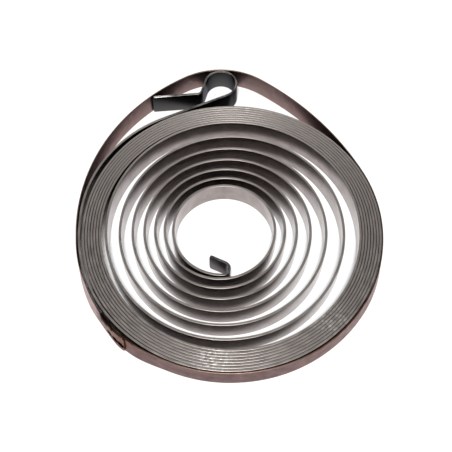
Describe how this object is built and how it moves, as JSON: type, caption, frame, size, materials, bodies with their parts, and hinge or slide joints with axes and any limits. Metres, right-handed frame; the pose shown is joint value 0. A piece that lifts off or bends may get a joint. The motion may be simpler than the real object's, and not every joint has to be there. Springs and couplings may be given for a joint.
{
  "type": "recoil starter spring",
  "caption": "Flat spiral spring of steel strip with open inner turns, a hairpin hook at its inner end and a round loop at its outer end, held coiled by a lapped steel band.",
  "frame": {"origin": "on the axis that the tight outer turns are wound on, at the underside of the coil", "axes": "+Z along the coil axis, +Y towards the outer loop, so that the coil winds outwards clockwise seen from +Z"},
  "size_m": [0.0948, 0.1088, 0.008],
  "materials": {
    "spring_steel": "rolled spring steel, satin",
    "band_steel": "blued and heat-tinted brown"
  },
  "bodies": {
    "root": {"spring_strip": "spring_steel", "retaining_band": "band_steel"}
  },
  "joints": []
}
